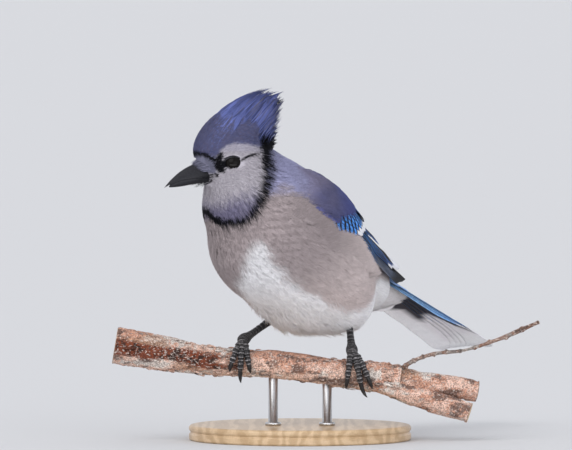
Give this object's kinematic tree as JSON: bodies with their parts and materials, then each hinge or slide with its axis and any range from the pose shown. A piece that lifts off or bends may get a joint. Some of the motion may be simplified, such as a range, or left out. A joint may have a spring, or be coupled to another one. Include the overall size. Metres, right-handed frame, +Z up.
{
  "type": "blue jay, perched display model",
  "caption": "Life-size still model of a blue jay, crest raised and wings folded, gripping a cut length of forked branch held on short rods over a round base.",
  "frame": {"origin": "centre of the round base's underside", "axes": "+Z up, X along the branch, with the bird's tail towards +X and +Y and its head towards -X and -Y"},
  "size_m": [0.2218, 0.1943, 0.1832],
  "materials": {
    "head_feathers": "matt violet-blue crest with white face and black necklace",
    "neck_feathers": "matt grey-blue above, pale grey below",
    "body_feathers": "matt warm grey, white on the belly",
    "wing_feathers": "satin blue, barred black, with white tips",
    "tail_feathers": "satin blue, barred black, with white tips",
    "bill": "dark grey horn, satin",
    "eye": "clear dark brown",
    "leg": "black scaled skin",
    "claw": "black horn",
    "bark": "rough flaking bark",
    "base_wood": "satin varnished maple",
    "rod_steel": "satin"
  },
  "bodies": {
    "root": {"head": "head_feathers", "neck": "neck_feathers", "torso": "body_feathers", "wing_left": "wing_feathers", "wing_right": "wing_feathers", "tail": "tail_feathers", "bill_upper": "bill", "bill_lower": "bill", "eye_left": "eye", "eye_right": "eye", "leg_left": "leg", "leg_right": "leg", "claw_left_inner": "claw", "claw_left_middle": "claw", "claw_left_outer": "claw", "claw_left_hind": "claw", "claw_right_inner": "claw", "claw_right_middle": "claw", "claw_right_outer": "claw", "claw_right_hind": "claw", "perch": "bark", "stand_base": "base_wood", "stand_rod_1": "rod_steel", "stand_rod_2": "rod_steel"}
  },
  "joints": []
}
